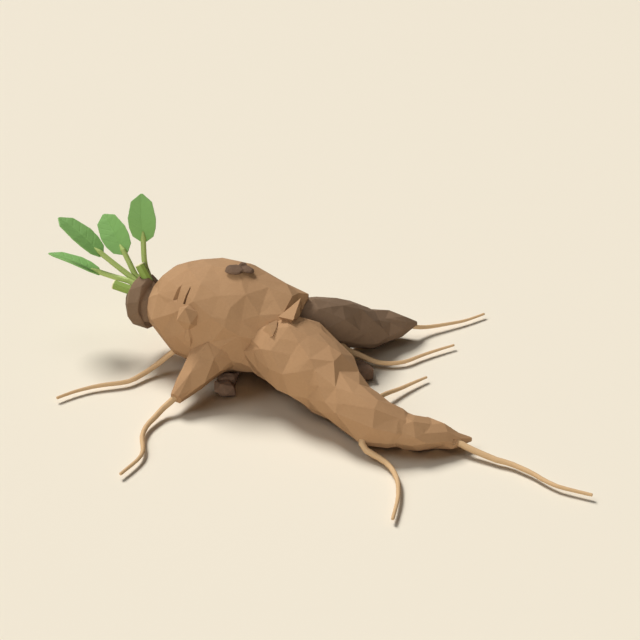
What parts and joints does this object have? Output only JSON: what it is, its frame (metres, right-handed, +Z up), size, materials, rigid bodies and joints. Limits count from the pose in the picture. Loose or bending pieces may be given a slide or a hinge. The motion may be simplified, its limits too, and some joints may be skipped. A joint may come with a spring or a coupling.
{
  "type": "burdock root",
  "caption": "Forked tan root lying on its side, with a dark crown, young leaves and cut stalks at one end, thin rootlets and clods of soil.",
  "frame": {"origin": "on the surface that the root lies on, under the middle of the whole plant's box", "axes": "+X from the leafy crown to the tip of the long front leg, +Y away from the viewer's side, +Z up"},
  "size_m": [0.2804, 0.1944, 0.0756],
  "materials": {
    "root_skin": "matte dry skin",
    "dark_root": "matte dark skin",
    "crown_skin": "matte corky skin",
    "rootlet_skin": "matte pale skin",
    "leaf": "soft matte leaf",
    "stalk": "satin green stalk",
    "cut_stalk": "satin green stalk with a pale cut end",
    "soil": "matte dry soil"
  },
  "bodies": {
    "root": {"root": "root_skin", "side_root_rear": "dark_root", "crown": "crown_skin", "rootlet_1": "rootlet_skin", "rootlet_2": "rootlet_skin", "rootlet_3": "rootlet_skin", "rootlet_4": "rootlet_skin", "rootlet_5": "rootlet_skin", "rootlet_6": "rootlet_skin", "rootlet_7": "rootlet_skin", "leaf_stalk_1": "stalk", "leaf_stalk_2": "stalk", "leaf_stalk_3": "stalk", "leaf_stalk_4": "stalk", "leaf_blade_1": "leaf", "leaf_blade_2": "leaf", "leaf_blade_3": "leaf", "leaf_blade_4": "leaf", "cut_stalk_upper": "cut_stalk", "cut_stalk_lower": "cut_stalk", "soil_top": "soil", "soil_front": "soil", "soil_fork": "soil"}
  },
  "joints": []
}
